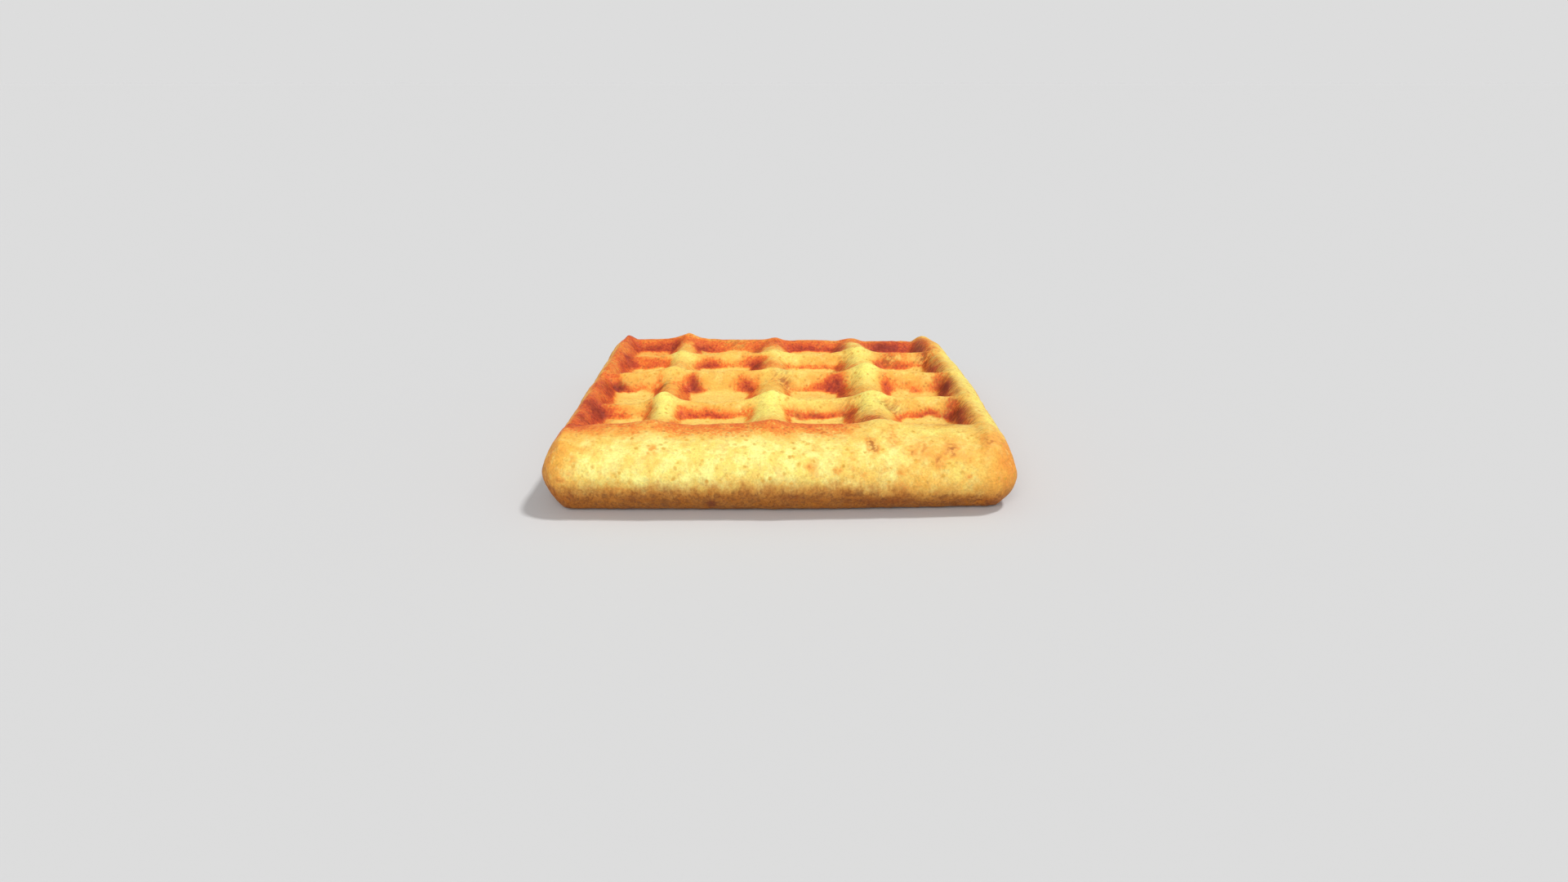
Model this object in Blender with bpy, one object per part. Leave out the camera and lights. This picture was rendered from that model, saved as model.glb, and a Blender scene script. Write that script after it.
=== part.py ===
"""A thick rectangular waffle with four by four soft pockets, resting on its underside.

Lengths are in millimetres until a point is placed, and metres in the mesh.
X runs across the waffle, -Y is its broad front rim and +Z is up.
The origin is the middle of the footprint.
"""

import math

import bmesh
import bpy
from mathutils import Vector, noise

MM = 0.001

# Outer form: the widest level is a rounded rectangle, and the sides fall in above and below it
HALF_WIDTH = 62.8
HALF_DEPTH = 71.5
CORNER_RADIUS = 10.0
WIDEST_LEFT = 8.9
WIDEST_RIGHT = 6.8
SHOULDER_INSET = 3.1
SHOULDER_POWER = 1.75
FOOT_INSET = 5.2
FOOT_POWER = 1.5
SHOULDER_RADIUS_LOSS = 0.3
FOOT_RADIUS_LOSS = 1.35
FRONT_SKEW = 2.4
RIGHT_TAPER = 2.6
SIDE_STEPS = 7

# Ridges of the upper grid: where each crest runs, and how far its flanks reach
COLUMN_CRESTS = (-57.3, -34.7, -2.5, 26.8, 54.6)
COLUMN_FLANKS = ((5.0, 6.5), (7.0, 7.5), (10.5, 7.0), (11.0, 10.0), (7.0, 6.0))
ROW_CRESTS = (-52.5, -22.3, 6.5, 36.3, 63.0)
ROW_FLANKS = ((7.0, 8.0), (6.0, 7.5), (6.5, 7.5), (6.0, 7.0), (7.5, 7.0))

# Heights above the rest face: pocket floors, ridges between crossings, and the crossings themselves
FLOOR_FRONT = 12.6
FLOOR_BACK = 11.4
COLUMN_HEIGHTS = ((18.0, 17.0), (16.6, 15.4), (16.8, 15.2), (17.8, 16.0), (18.8, 16.8))
ROW_HEIGHTS = ((19.5, 18.9), (15.3, 18.4), (17.8, 17.9), (15.2, 17.2), (15.4, 14.3))
CROSSING_HEIGHTS = (
    (19.2, 20.5, 20.6, 20.4, 19.2),
    (18.2, 19.6, 20.1, 20.2, 19.2),
    (18.0, 19.6, 19.4, 21.2, 18.8),
    (17.4, 17.7, 17.9, 18.9, 18.0),
    (16.6, 17.6, 15.7, 15.7, 16.3),
)
CROSSING_RADIUS = 5.8
# Spots between the crossings where a ridge has swollen: x, y and extra height
SWOLLEN_SPOTS = ((-16.0, 36.3, 1.2), (-15.0, 6.5, 0.6))
BLEND_POWER = 4.0

# Fall of the rim from its crest to the shoulder: how far down, and how quickly
SIDE_FALL = 1.7
ROW_END_FALL = 1.1
SIDE_FALL_POWER = 1.5
FRONT_FALL = 3.8
BACK_FALL = 2.2
END_FALL_POWER = 2.1

# Underside: a flat rim to rest on, and the same grid pressed in less deeply
UNDER_RIM = 6.0
UNDER_DEPTH = 3.7
UNDER_LIFT = 0.3
UNDER_FLANK = 6.5

# Unevenness of the baked batter
SWELL_SIZE = 17.0
SWELL_HEIGHT = 0.45

# Lattice: steps from each edge to the first crest, and between crests
EDGE_STEPS_X = (2, 2)
EDGE_STEPS_Y = (4, 2)
POCKET_STEPS = 8
CREST_CROWDING = 0.35
LATTICE_SPAN = 2.0
LEVEL_TOLERANCE = 0.001

CRUST_COLOUR = (0.80, 0.43, 0.11, 1.0)
CRUST_ROUGHNESS = 0.72


def clear_scene():
    for existing in list(bpy.data.objects):
        bpy.data.objects.remove(existing, do_unlink=True)


def mix(low, high, share):
    return low + (high - low) * share


def eased(share):
    share = min(max(share, 0.0), 1.0)
    return share * share * (3.0 - 2.0 * share)


def depth_share(y):
    """0 at the front of the waffle and 1 at its back."""
    return (y + HALF_DEPTH) / (2.0 * HALF_DEPTH)


def width_share(x):
    """0 at the left of the waffle and 1 at its right."""
    return (x + HALF_WIDTH) / (2.0 * HALF_WIDTH)


def ridge(offset, flanks):
    """Height share of one rounded ridge, 1 on its crest and 0 past its flanks."""
    reach = flanks[0] if offset < 0.0 else flanks[1]
    if abs(offset) >= reach:
        return 0.0
    return 0.5 + 0.5 * math.cos(math.pi * offset / reach)


def swell(x, y, z):
    """Slow unevenness of the surface, between about -1 and 1."""
    return noise.noise(Vector((x, y, z)) / SWELL_SIZE)


def floor_height(y):
    return mix(FLOOR_FRONT, FLOOR_BACK, depth_share(y))


def grid_height(x, y):
    """Height of the two crossing sets of ridges, without the raised crossings."""
    floor = floor_height(y)
    total = 0.0
    for crest, flanks, heights in zip(COLUMN_CRESTS, COLUMN_FLANKS, COLUMN_HEIGHTS):
        rise = mix(heights[0], heights[1], depth_share(y)) - floor
        total += (rise * column_share(x, crest, flanks)) ** BLEND_POWER
    for crest, flanks, heights in zip(ROW_CRESTS, ROW_FLANKS, ROW_HEIGHTS):
        rise = mix(heights[0], heights[1], width_share(x)) - floor
        total += (rise * row_share(y, crest, flanks)) ** BLEND_POWER
    return floor + total ** (1.0 / BLEND_POWER)


def column_share(x, crest, flanks):
    """A column ridge, which stays full outside the outermost crests."""
    beyond_left = crest == COLUMN_CRESTS[0] and x < crest
    beyond_right = crest == COLUMN_CRESTS[-1] and x > crest
    return 1.0 if beyond_left or beyond_right else ridge(x - crest, flanks)


def row_share(y, crest, flanks):
    """A row ridge, which stays full outside the outermost crests."""
    beyond_front = crest == ROW_CRESTS[0] and y < crest
    beyond_back = crest == ROW_CRESTS[-1] and y > crest
    return 1.0 if beyond_front or beyond_back else ridge(y - crest, flanks)


def bump_share(x, y, middle_x, middle_y):
    """Height share of one round bump, 1 at its middle."""
    away = math.hypot(x - middle_x, y - middle_y) / CROSSING_RADIUS
    return math.exp(-away * away)


def bump_rise(x, y):
    """Extra height of the bumps where the ridges cross and where they have swollen."""
    rise = 0.0
    for row_crest, heights in zip(ROW_CRESTS, CROSSING_HEIGHTS):
        for column_crest, height in zip(COLUMN_CRESTS, heights):
            extra = height - grid_height(column_crest, row_crest)
            rise += extra * bump_share(x, y, column_crest, row_crest)
    for spot_x, spot_y, extra in SWOLLEN_SPOTS:
        rise += extra * bump_share(x, y, spot_x, spot_y)
    return rise


def rim_fall(x, y):
    """How far the surface has dropped outside the rim's crests."""
    edge_x = HALF_WIDTH - SHOULDER_INSET
    edge_y = HALF_DEPTH - SHOULDER_INSET
    left = max(COLUMN_CRESTS[0] - x, 0.0) / (edge_x + COLUMN_CRESTS[0])
    right = max(x - COLUMN_CRESTS[-1], 0.0) / (edge_x - COLUMN_CRESTS[-1])
    front = max(ROW_CRESTS[0] - y, 0.0) / (edge_y + ROW_CRESTS[0])
    back = max(y - ROW_CRESTS[-1], 0.0) / (edge_y - ROW_CRESTS[-1])
    row = max(row_share(y, crest, flanks) for crest, flanks in zip(ROW_CRESTS, ROW_FLANKS))
    fall = (SIDE_FALL + ROW_END_FALL * row) * (left + right) ** SIDE_FALL_POWER
    fall += FRONT_FALL * front ** END_FALL_POWER
    return fall + BACK_FALL * back ** END_FALL_POWER


def top_height(x, y):
    surface = grid_height(x, y) + bump_rise(x, y) - rim_fall(x, y)
    return surface + SWELL_HEIGHT * swell(x, y, 0.0)


def under_height(x, y):
    """Height of the underside: flat at the rim, with shallow pockets inside it."""
    edge_x = HALF_WIDTH - FOOT_INSET
    edge_y = HALF_DEPTH - FOOT_INSET
    from_edge = min(edge_x - abs(x), edge_y - abs(y))
    flanks = (UNDER_FLANK, UNDER_FLANK)
    column = max(ridge(x - crest, flanks) for crest in COLUMN_CRESTS)
    row = max(ridge(y - crest, flanks) for crest in ROW_CRESTS)
    pocket = (1.0 - column) * (1.0 - row)
    inside = eased((from_edge - UNDER_RIM) / UNDER_RIM)
    return inside * (UNDER_LIFT + (UNDER_DEPTH - UNDER_LIFT) * pocket)


def rounded(x, y, inset, radius):
    """Moves a point of the rectangle at this inset so that the corners become arcs."""
    over_x = abs(x) - (HALF_WIDTH - inset - radius)
    over_y = abs(y) - (HALF_DEPTH - inset - radius)
    if over_x <= 0.0 or over_y <= 0.0:
        return x, y
    arc_x = over_x * math.sqrt(1.0 - 0.5 * (over_y / radius) ** 2)
    arc_y = over_y * math.sqrt(1.0 - 0.5 * (over_x / radius) ** 2)
    new_x = math.copysign(abs(x) - over_x + arc_x, x)
    return new_x, math.copysign(abs(y) - over_y + arc_y, y)


def plan_point(station_x, station_y, inset, radius_loss):
    """Plan position of a lattice station, from -1 to 1 each way, at this inset."""
    x = station_x * (HALF_WIDTH - inset)
    y = station_y * (HALF_DEPTH - inset)
    return rounded(x, y, inset, CORNER_RADIUS - radius_loss * inset)


def shoulder_point(station_x, station_y):
    return plan_point(station_x, station_y, SHOULDER_INSET, SHOULDER_RADIUS_LOSS)


def skewed(x, y):
    """The front right lies a little further back than the front left, and the right side tapers."""
    rightward = eased(x / HALF_WIDTH)
    frontward = 1.0 - eased((y + HALF_DEPTH) / HALF_DEPTH)
    backward = eased(y / HALF_DEPTH)
    return x - RIGHT_TAPER * rightward * backward, y + FRONT_SKEW * rightward * frontward


def side_point(station_x, station_y, level):
    """A point of the side wall: level runs from -1 at the foot to 1 at the shoulder."""
    widest = mix(WIDEST_LEFT, WIDEST_RIGHT, eased(0.5 + 0.5 * station_x))
    if level > 0.0:
        inset = SHOULDER_INSET * level ** SHOULDER_POWER
        x, y = plan_point(station_x, station_y, inset, SHOULDER_RADIUS_LOSS)
        height = mix(widest, top_height(*shoulder_point(station_x, station_y)), level)
    else:
        inset = FOOT_INSET * (-level) ** FOOT_POWER
        x, y = plan_point(station_x, station_y, inset, FOOT_RADIUS_LOSS)
        height = widest * (1.0 + level)
    push = SWELL_HEIGHT * swell(x, y, height) * (1.0 - level * level)
    length = math.hypot(x, y)
    return x + push * x / length, y + push * y / length, height


def stations(crests, half, edge_steps):
    """Lattice stations from -1 to 1, one on every crest and closer together beside it."""
    edge = half - SHOULDER_INSET
    found = [mix(-edge, crests[0], step / edge_steps[0]) for step in range(edge_steps[0])]
    for start, end in zip(crests, crests[1:]):
        for step in range(POCKET_STEPS):
            share = step / POCKET_STEPS
            share -= CREST_CROWDING * math.sin(math.tau * share) / math.tau
            found.append(mix(start, end, share))
    found += [mix(crests[-1], edge, step / edge_steps[1]) for step in range(edge_steps[1] + 1)]
    return [value / edge for value in found]


def lattice_block(steps):
    """A cube from -1 to 1 with its faces cut into this many steps along X, Y and Z."""
    mesh = bmesh.new()
    bmesh.ops.create_cube(mesh, size=LATTICE_SPAN)
    for axis, count in enumerate(steps):
        along = []
        for edge in mesh.edges:
            span = edge.verts[1].co - edge.verts[0].co
            if abs(span[axis]) > LATTICE_SPAN / 2.0:
                along.append(edge)
        bmesh.ops.subdivide_edges(mesh, edges=along, cuts=count - 1, use_grid_fill=True)
    return mesh


def station_at(place, found):
    """The station that belongs to a lattice point's place, from -1 to 1 along one axis."""
    return found[round((place + 1.0) / LATTICE_SPAN * (len(found) - 1))]


def shape_waffle(mesh, stations_x, stations_y):
    """Moves each lattice point to the waffle's surface."""
    for point in mesh.verts:
        station_x = station_at(point.co.x, stations_x)
        station_y = station_at(point.co.y, stations_y)
        level = point.co.z
        if level > 1.0 - LEVEL_TOLERANCE:
            x, y = shoulder_point(station_x, station_y)
            z = top_height(x, y)
        elif level < LEVEL_TOLERANCE - 1.0:
            x, y = plan_point(station_x, station_y, FOOT_INSET, FOOT_RADIUS_LOSS)
            z = under_height(x, y)
        else:
            x, y, z = side_point(station_x, station_y, level)
        point.co = Vector((*skewed(x, y), z)) * MM


def crust_material():
    material = bpy.data.materials.new("waffle_crust")
    material.use_nodes = True
    shader = material.node_tree.nodes["Principled BSDF"]
    shader.inputs["Base Color"].default_value = CRUST_COLOUR
    shader.inputs["Roughness"].default_value = CRUST_ROUGHNESS
    shader.inputs["Metallic"].default_value = 0.0
    return material


def build_waffle():
    clear_scene()
    collection = bpy.data.collections.new("waffle_part")
    bpy.context.scene.collection.children.link(collection)
    stations_x = stations(COLUMN_CRESTS, HALF_WIDTH, EDGE_STEPS_X)
    stations_y = stations(ROW_CRESTS, HALF_DEPTH, EDGE_STEPS_Y)
    mesh = lattice_block((len(stations_x) - 1, len(stations_y) - 1, SIDE_STEPS))
    shape_waffle(mesh, stations_x, stations_y)
    bmesh.ops.recalc_face_normals(mesh, faces=mesh.faces)
    data = bpy.data.meshes.new("waffle")
    mesh.to_mesh(data)
    mesh.free()
    data.materials.append(crust_material())
    data.shade_smooth()
    waffle = bpy.data.objects.new("waffle", data)
    collection.objects.link(waffle)
    return waffle


build_waffle()
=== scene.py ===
"""Looks of the thick four by four waffle: baked surface, studio light and camera.

Lengths are in millimetres until a point is placed, and metres in the mesh, the floor and the camera.
The base form repeats the dimensions and functions of the part's source.
Places are given in plan, before the slight skew that skewed() adds.
"""
import math

import bmesh
import bpy
import numpy as np
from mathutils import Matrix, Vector, kdtree, noise


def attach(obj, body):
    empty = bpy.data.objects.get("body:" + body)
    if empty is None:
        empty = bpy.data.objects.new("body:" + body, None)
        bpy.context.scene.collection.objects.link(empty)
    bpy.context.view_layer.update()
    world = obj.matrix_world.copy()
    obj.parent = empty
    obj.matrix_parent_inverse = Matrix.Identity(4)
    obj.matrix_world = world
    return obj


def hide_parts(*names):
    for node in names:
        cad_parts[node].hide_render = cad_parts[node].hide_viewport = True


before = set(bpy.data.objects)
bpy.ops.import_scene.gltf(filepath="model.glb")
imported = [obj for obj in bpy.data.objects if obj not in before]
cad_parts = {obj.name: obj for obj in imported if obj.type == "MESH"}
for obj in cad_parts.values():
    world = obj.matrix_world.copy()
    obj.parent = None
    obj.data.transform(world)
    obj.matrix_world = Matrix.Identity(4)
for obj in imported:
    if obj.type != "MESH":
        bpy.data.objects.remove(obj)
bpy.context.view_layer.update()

MM = 0.001

# Zones of the lattice's points, and how near to -1 or 1 the level is underneath and on top
UNDER = 0
SIDE = 1
TOP = 2
LEVEL_TOLERANCE = 0.001

# Outer form: the widest level is a rounded rectangle, and the sides fall in above and below it
HALF_WIDTH = 62.8
HALF_DEPTH = 71.5
CORNER_RADIUS = 10.0
WIDEST_LEFT = 8.9
WIDEST_RIGHT = 6.8
SHOULDER_INSET = 3.1
SHOULDER_POWER = 1.75
FOOT_INSET = 5.2
FOOT_POWER = 1.5
SHOULDER_RADIUS_LOSS = 0.3
FOOT_RADIUS_LOSS = 1.35
FRONT_SKEW = 2.4
RIGHT_TAPER = 2.6

# Ridges of the upper grid: where each crest runs, and how far its flanks reach
COLUMN_CRESTS = (-57.3, -34.7, -2.5, 26.8, 54.6)
COLUMN_FLANKS = ((5.0, 6.5), (7.0, 7.5), (10.5, 7.0), (11.0, 10.0), (7.0, 6.0))
ROW_CRESTS = (-52.5, -22.3, 6.5, 36.3, 63.0)
ROW_FLANKS = ((7.0, 8.0), (6.0, 7.5), (6.5, 7.5), (6.0, 7.0), (7.5, 7.0))

# Heights above the rest face: pocket floors, ridges between crossings, and the crossings themselves
FLOOR_FRONT = 12.6
FLOOR_BACK = 11.4
COLUMN_HEIGHTS = ((18.0, 17.0), (16.6, 15.4), (16.8, 15.2), (17.8, 16.0), (18.8, 16.8))
ROW_HEIGHTS = ((19.5, 18.9), (15.3, 18.4), (17.8, 17.9), (15.2, 17.2), (15.4, 14.3))
CROSSING_HEIGHTS = (
    (19.2, 20.5, 20.6, 20.4, 19.2),
    (18.2, 19.6, 20.1, 20.2, 19.2),
    (18.0, 19.6, 19.4, 21.2, 18.8),
    (17.4, 17.7, 17.9, 18.9, 18.0),
    (16.6, 17.6, 15.7, 15.7, 16.3),
)
CROSSING_RADIUS = 5.8
# Spots between the crossings where a ridge has swollen: x, y and extra height
SWOLLEN_SPOTS = ((-16.0, 36.3, 1.2), (-15.0, 6.5, 0.6))
BLEND_POWER = 4.0

# Fall of the rim from its crest to the shoulder: how far down, and how quickly
SIDE_FALL = 1.7
ROW_END_FALL = 1.1
SIDE_FALL_POWER = 1.5
FRONT_FALL = 3.8
BACK_FALL = 2.2
END_FALL_POWER = 2.1

# Underside: a flat rim to rest on, and the same grid pressed in less deeply
UNDER_RIM = 6.0
UNDER_DEPTH = 3.7
UNDER_LIFT = 0.3
UNDER_FLANK = 6.5

# How far one more seed shifts the noise along X, Y and Z
SEED_SHIFT = (13.7, 7.3, 3.1)

# Slow unevenness of the baked batter: size and seed of its noise, and its height
SWELL_NOISE = (17.0, 0.0)
SWELL_HEIGHT = 0.45

# Fine lattice: steps from each edge to the first crest, between crests, and down the side
EDGE_STEPS_X = (4, 8)
EDGE_STEPS_Y = (23, 8)
POCKET_STEPS = 41
CREST_CROWDING = 0.15
SIDE_STEPS = 33
SIDE_SMOOTHING = 14
TOP_SMOOTHING = 2
SMOOTH_FACTOR = 0.5
SMOOTH_REACH = 2.0

# Relief of the crust and crumb: size of the unevenness, its height and the seed of its noise
RELIEF_LAYERS = ((5.5, 0.17, 20.0), (2.6, 0.11, 21.0), (1.4, 0.06, 22.0))
# It fades out towards the foot, by this share of the side, and leaves the resting face flat
RELIEF_FADE = 0.25
RESTING_HEIGHT = 0.25

# Small open pores: number, size and roundness, and how likely one is underneath, on the side and on top
PIT_COUNT = 1500
PIT_RADIUS = (0.7, 1.6)
PIT_DEPTH = (0.14, 0.34)
PIT_ROUNDING = 1.5
PIT_LIKELY = (0.15, 1.0, 0.35)
PIT_SEED = 11

# Browning where a pocket's walls meet its floor: middle x, middle y, reach x, reach y, strength
FOOT_TOAST = (
    (-46.0, -25.5, 8.0, 3.0, 0.22),
    (-21.5, -27.0, 10.5, 5.0, 0.85),
    (11.0, -27.8, 11.0, 4.0, 0.80),
    (41.0, -27.0, 11.0, 5.0, 0.80),
    (-46.0, 1.5, 9.0, 3.0, 0.50),
    (-51.5, 2.0, 3.5, 3.5, 0.90),
    (-28.0, 0.0, 3.4, 5.5, 0.90),
    (-11.5, 0.0, 3.0, 5.0, 0.75),
    (-20.0, 1.5, 8.0, 2.5, 0.06),
    (10.0, 1.5, 7.0, 2.5, 0.50),
    (17.0, 1.0, 4.5, 6.0, 1.00),
    (33.5, 0.0, 3.0, 4.5, 0.65),
    (41.0, 1.0, 8.0, 2.5, 0.14),
    (-46.0, 33.6, 9.0, 2.8, 0.55),
    (-25.0, 32.5, 6.0, 4.0, 0.85),
    (-9.0, 30.0, 4.0, 6.0, 0.90),
    (10.0, 31.5, 10.0, 1.6, 0.60),
    (18.5, 28.0, 3.0, 5.0, 0.60),
    (33.0, 32.0, 3.5, 3.5, 0.75),
    (42.0, 31.5, 8.0, 2.4, 0.68),
    (-45.0, 58.0, 9.0, 4.0, 0.80),
    (-27.0, 56.0, 6.0, 5.0, 0.80),
    (9.0, 58.5, 11.0, 4.5, 0.80),
    (21.0, 54.0, 3.0, 5.0, 0.70),
    (42.0, 59.0, 11.0, 4.5, 1.00),
)
# Browning that climbs the walls and rims above that. The long strips at x -39, 19.5 and 50.3 and the
# patches near x 50.5 lie on flanks that face left, away from the key light, and are partly painted shade
WALL_TOAST_AND_SHADE = (
    (-28.0, 2.5, 2.8, 3.5, 0.75),
    (-11.5, 2.5, 2.6, 2.6, 0.60),
    (16.5, 3.5, 4.0, 3.2, 0.82),
    (33.0, 2.5, 3.0, 3.0, 0.45),
    (-24.5, 33.0, 5.0, 2.4, 0.70),
    (-10.0, 32.5, 4.0, 2.6, 0.75),
    (-21.0, -26.2, 9.0, 2.4, 0.48),
    (10.0, -26.5, 9.0, 1.6, 0.32),
    (-47.0, -25.0, 6.0, 2.6, 0.12),
    (-47.0, 34.5, 7.0, 2.0, 0.35),
    (-54.0, -26.0, 5.5, 8.0, 0.60),
    (-55.5, -40.0, 4.5, 6.5, 0.42),
    (-54.0, -5.0, 4.5, 8.0, 0.50),
    (-53.5, 35.0, 5.0, 4.5, 0.45),
    (-44.0, 59.5, 7.0, 3.0, 0.55),
    (-27.0, 57.0, 5.0, 4.0, 0.50),
    (10.0, 59.5, 9.0, 3.0, 0.60),
    (41.0, 59.5, 9.0, 4.0, 0.90),
    (-52.0, -29.0, 5.0, 5.0, 0.45),
    (-52.0, 27.0, 4.0, 6.0, 0.30),
    (38.0, 35.0, 5.0, 3.0, 0.35),
    (44.0, 35.0, 6.0, 3.0, 0.28),
    (45.0, 6.0, 5.0, 3.0, 0.12),
    (-46.0, 6.0, 6.0, 3.0, 0.12),
    (-33.0, -9.0, 6.0, 6.5, 0.32),
    (-33.0, 1.0, 5.0, 4.0, 0.25),
    (-1.0, 2.0, 6.0, 4.0, 0.28),
    (-3.0, 25.0, 7.0, 7.0, 0.38),
    (-3.0, 55.0, 6.0, 8.0, 0.42),
    (-34.0, 60.0, 5.0, 5.0, 0.34),
    (-34.0, 47.0, 4.0, 5.0, 0.22),
    (-39.0, 0.0, 2.2, 55.0, 0.28),
    (19.5, 0.0, 3.0, 55.0, 0.14),
    (54.5, 48.0, 3.5, 16.0, 0.45),
    (-9.0, 26.0, 3.0, 6.0, 0.60),
    (21.5, 52.0, 2.5, 6.0, 0.45),
    (50.3, 20.0, 2.0, 80.0, 0.36),
    (-45.0, 54.5, 10.0, 4.0, 0.70),
    (43.0, -1.0, 8.0, 3.5, 0.42),
    (28.5, -8.0, 5.0, 5.0, 0.22),
    (-24.0, -12.0, 6.0, 5.0, 0.20),
    (50.5, -4.0, 2.2, 8.0, 0.50),
    (50.8, 50.0, 2.4, 10.0, 0.42),
    (50.0, -34.0, 2.6, 12.0, 0.38),
    (26.0, -42.0, 5.0, 4.5, 0.42),
    (-34.0, -42.0, 4.0, 3.5, 0.32),
    (-1.5, -41.0, 4.0, 3.5, 0.32),
    (-34.0, 24.0, 4.0, 5.0, 0.28),
    (25.0, 20.0, 5.0, 4.5, 0.32),
    (-20.0, 37.5, 11.0, 2.2, 0.24),
    (-46.0, 37.0, 6.0, 2.5, 0.24),
    (-8.5, -4.0, 2.5, 5.0, 0.28),
)
# Small dark burnt spots. Those at x 50 to 52 lie on the right rim's inner flank, which faces away from the
# key light, and are partly painted shade
CHAR_AND_SHADE_SPOTS = (
    (-53.0, -26.5, 2.0, 3.0, 0.70),
    (-55.8, -26.5, 1.4, 2.2, 0.45),
    (-55.8, -40.0, 1.4, 2.0, 0.40),
    (-54.5, -3.0, 2.2, 3.6, 0.40),
    (-51.0, 2.2, 2.6, 1.2, 0.95),
    (-38.0, 0.0, 2.0, 1.6, 0.80),
    (-53.0, 35.0, 1.8, 3.0, 0.45),
    (-39.0, 58.5, 2.0, 2.5, 0.65),
    (-48.0, 59.0, 5.0, 1.2, 0.45),
    (-28.0, 57.0, 2.0, 2.5, 0.55),
    (-27.0, 2.4, 1.8, 2.4, 0.65),
    (-11.0, 1.6, 1.8, 1.8, 0.50),
    (18.5, 2.8, 2.6, 1.8, 0.35),
    (38.5, 60.0, 4.0, 2.5, 0.60),
    (-9.0, 30.5, 2.0, 1.8, 0.55),
    (-26.5, 32.0, 2.6, 1.4, 0.45),
    (-9.0, 55.0, 2.0, 2.2, 0.50),
    (22.0, 54.5, 2.0, 2.2, 0.50),
    (5.0, -26.6, 1.2, 0.9, 0.55),
    (10.0, -26.4, 1.4, 0.9, 0.55),
    (18.2, -28.0, 2.2, 1.8, 0.60),
    (44.0, -27.2, 4.0, 1.2, 0.50),
    (48.8, -27.3, 2.0, 1.4, 0.55),
    (50.9, -3.0, 2.0, 5.0, 0.85),
    (50.2, -33.0, 2.0, 6.5, 0.70),
    (51.0, 24.0, 2.0, 4.0, 0.65),
    (51.6, 53.0, 2.0, 4.5, 0.50),
)
# Greyish brown streaks on flanks that face left, and a few on the ridges. On the flanks that face left,
# away from the key light, and above all on the right rim's inner flank, they are partly painted shade
STREAK_AND_SHADE_PATCHES = (
    (50.6, -3.0, 2.2, 8.0, 1.00),
    (51.0, 16.0, 2.2, 6.0, 0.90),
    (50.2, 34.0, 2.2, 6.0, 0.90),
    (50.8, 50.0, 2.2, 9.0, 0.95),
    (50.3, -34.0, 2.4, 13.0, 0.90),
    (53.5, 0.0, 2.4, 70.0, 0.28),
    (46.0, -52.0, 5.0, 1.8, 0.70),
    (19.5, -5.0, 2.6, 6.0, 0.60),
    (20.5, 26.0, 2.6, 6.0, 0.60),
    (21.5, 50.0, 2.6, 6.0, 0.55),
    (20.0, -28.0, 3.0, 7.0, 0.55),
    (26.0, -41.0, 4.5, 4.5, 0.75),
    (-9.5, -31.0, 2.6, 4.0, 0.25),
    (-8.0, 27.0, 2.6, 5.0, 0.45),
    (-38.5, -28.0, 1.6, 7.0, 0.50),
    (0.5, 2.0, 3.0, 4.0, 0.75),
    (32.0, -26.0, 4.0, 2.4, 0.65),
    (-16.5, 60.5, 3.5, 2.6, 0.55),
    (37.5, 33.5, 3.6, 2.8, 0.70),
)
# Spots on the broad front, orange where weak and brown where strong: middle x, height of the middle,
# reach x, reach up, strength
FRONT_SPOTS = (
    (23.2, 17.7, 1.7, 0.8, 0.60),
    (24.0, 16.6, 1.9, 1.0, 0.66),
    (29.2, 18.1, 1.7, 1.9, 0.50),
    (33.5, 16.0, 1.0, 0.9, 0.60),
    (37.0, 16.2, 3.0, 2.0, 0.45),
    (44.2, 16.1, 2.7, 1.6, 0.68),
    (40.8, 13.9, 1.6, 1.6, 0.65),
    (54.5, 17.8, 3.2, 1.1, 0.60),
    (14.5, 12.3, 1.1, 0.9, 0.70),
    (7.5, 13.3, 1.7, 1.0, 0.50),
    (21.2, 11.3, 1.0, 0.8, 0.55),
    (30.8, 11.6, 1.6, 0.9, 0.45),
    (31.5, 7.0, 1.7, 2.4, 0.70),
    (48.5, 10.2, 1.0, 0.8, 0.55),
    (-53.2, 14.9, 1.5, 1.0, 0.50),
    (-33.2, 16.6, 1.7, 1.0, 0.50),
    (-56.8, 10.0, 1.7, 0.8, 0.65),
    (-42.0, 7.6, 4.0, 1.0, 0.50),
)
# Burnt spots low on the front, given in the same way
FRONT_CHARS = (
    (-18.0, 2.8, 1.3, 1.6, 0.90),
    (-54.0, 5.5, 1.0, 2.0, 0.35),
    (-38.0, 4.5, 2.0, 1.2, 0.30),
    (27.0, 3.6, 9.0, 1.4, 0.45),
    (3.0, 5.5, 5.0, 1.0, 0.35),
)
# How pale each crossing is baked, in the order of the crossing heights, and how far that reaches each way
CROSSING_PALE = (
    (0.0, 0.1, 0.1, 0.3, 0.3),
    (0.0, 0.9, 1.0, 0.9, 0.4),
    (0.0, 0.4, 0.5, 1.0, 0.4),
    (0.0, 0.7, 0.5, 0.8, 0.4),
    (0.0, 0.2, 0.1, 0.5, 0.4),
)
PALE_RADIUS = (5.5, 7.0)
# More pale places on the ridges and the front rim
PALE_TONGUES = (
    (-33.8, -30.0, 3.4, 8.0, 0.90),
    (-3.8, -27.5, 6.2, 8.0, 0.95),
    (26.5, -27.0, 5.5, 7.0, 0.75),
    (26.0, 27.0, 4.0, 6.0, 0.60),
    (26.0, -6.0, 4.5, 8.0, 0.25),
    (38.0, -57.5, 10.0, 3.5, 0.55),
    (9.0, -22.5, 9.0, 3.0, 0.55),
    (40.0, -21.0, 6.0, 3.0, 0.30),
    (40.0, 8.0, 4.0, 3.0, 0.35),
    (6.0, 8.0, 5.0, 3.0, 0.40),
    (-18.0, 36.0, 4.0, 2.5, 0.30),
    (4.0, 37.0, 5.0, 3.0, 0.45),
)

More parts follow.
